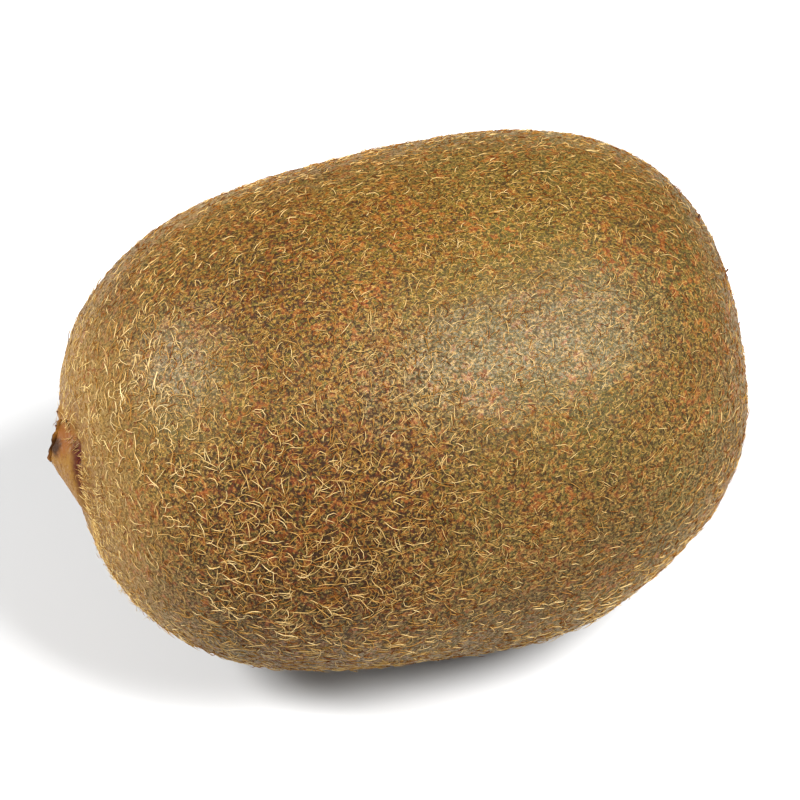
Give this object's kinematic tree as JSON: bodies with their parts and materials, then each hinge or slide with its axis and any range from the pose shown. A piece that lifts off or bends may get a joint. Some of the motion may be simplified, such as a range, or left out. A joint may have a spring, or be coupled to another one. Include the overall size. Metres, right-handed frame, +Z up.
{
  "type": "kiwi fruit",
  "caption": "Whole fuzzy kiwi fruit lying on its side, with a corky stem button at one end and withered styles at the other.",
  "frame": {"origin": "on the resting surface, under the middle of the fruit's bounding box", "axes": "+X along the fruit from the stem end to the blossom end, +Z up from the resting surface"},
  "size_m": [0.071, 0.0528, 0.0498],
  "materials": {
    "skin": "matt brown skin under short tan hairs",
    "dried_flower": "dull dark brown, dry and brittle"
  },
  "bodies": {
    "root": {"fruit": "skin", "dried_styles": "dried_flower"}
  },
  "joints": []
}
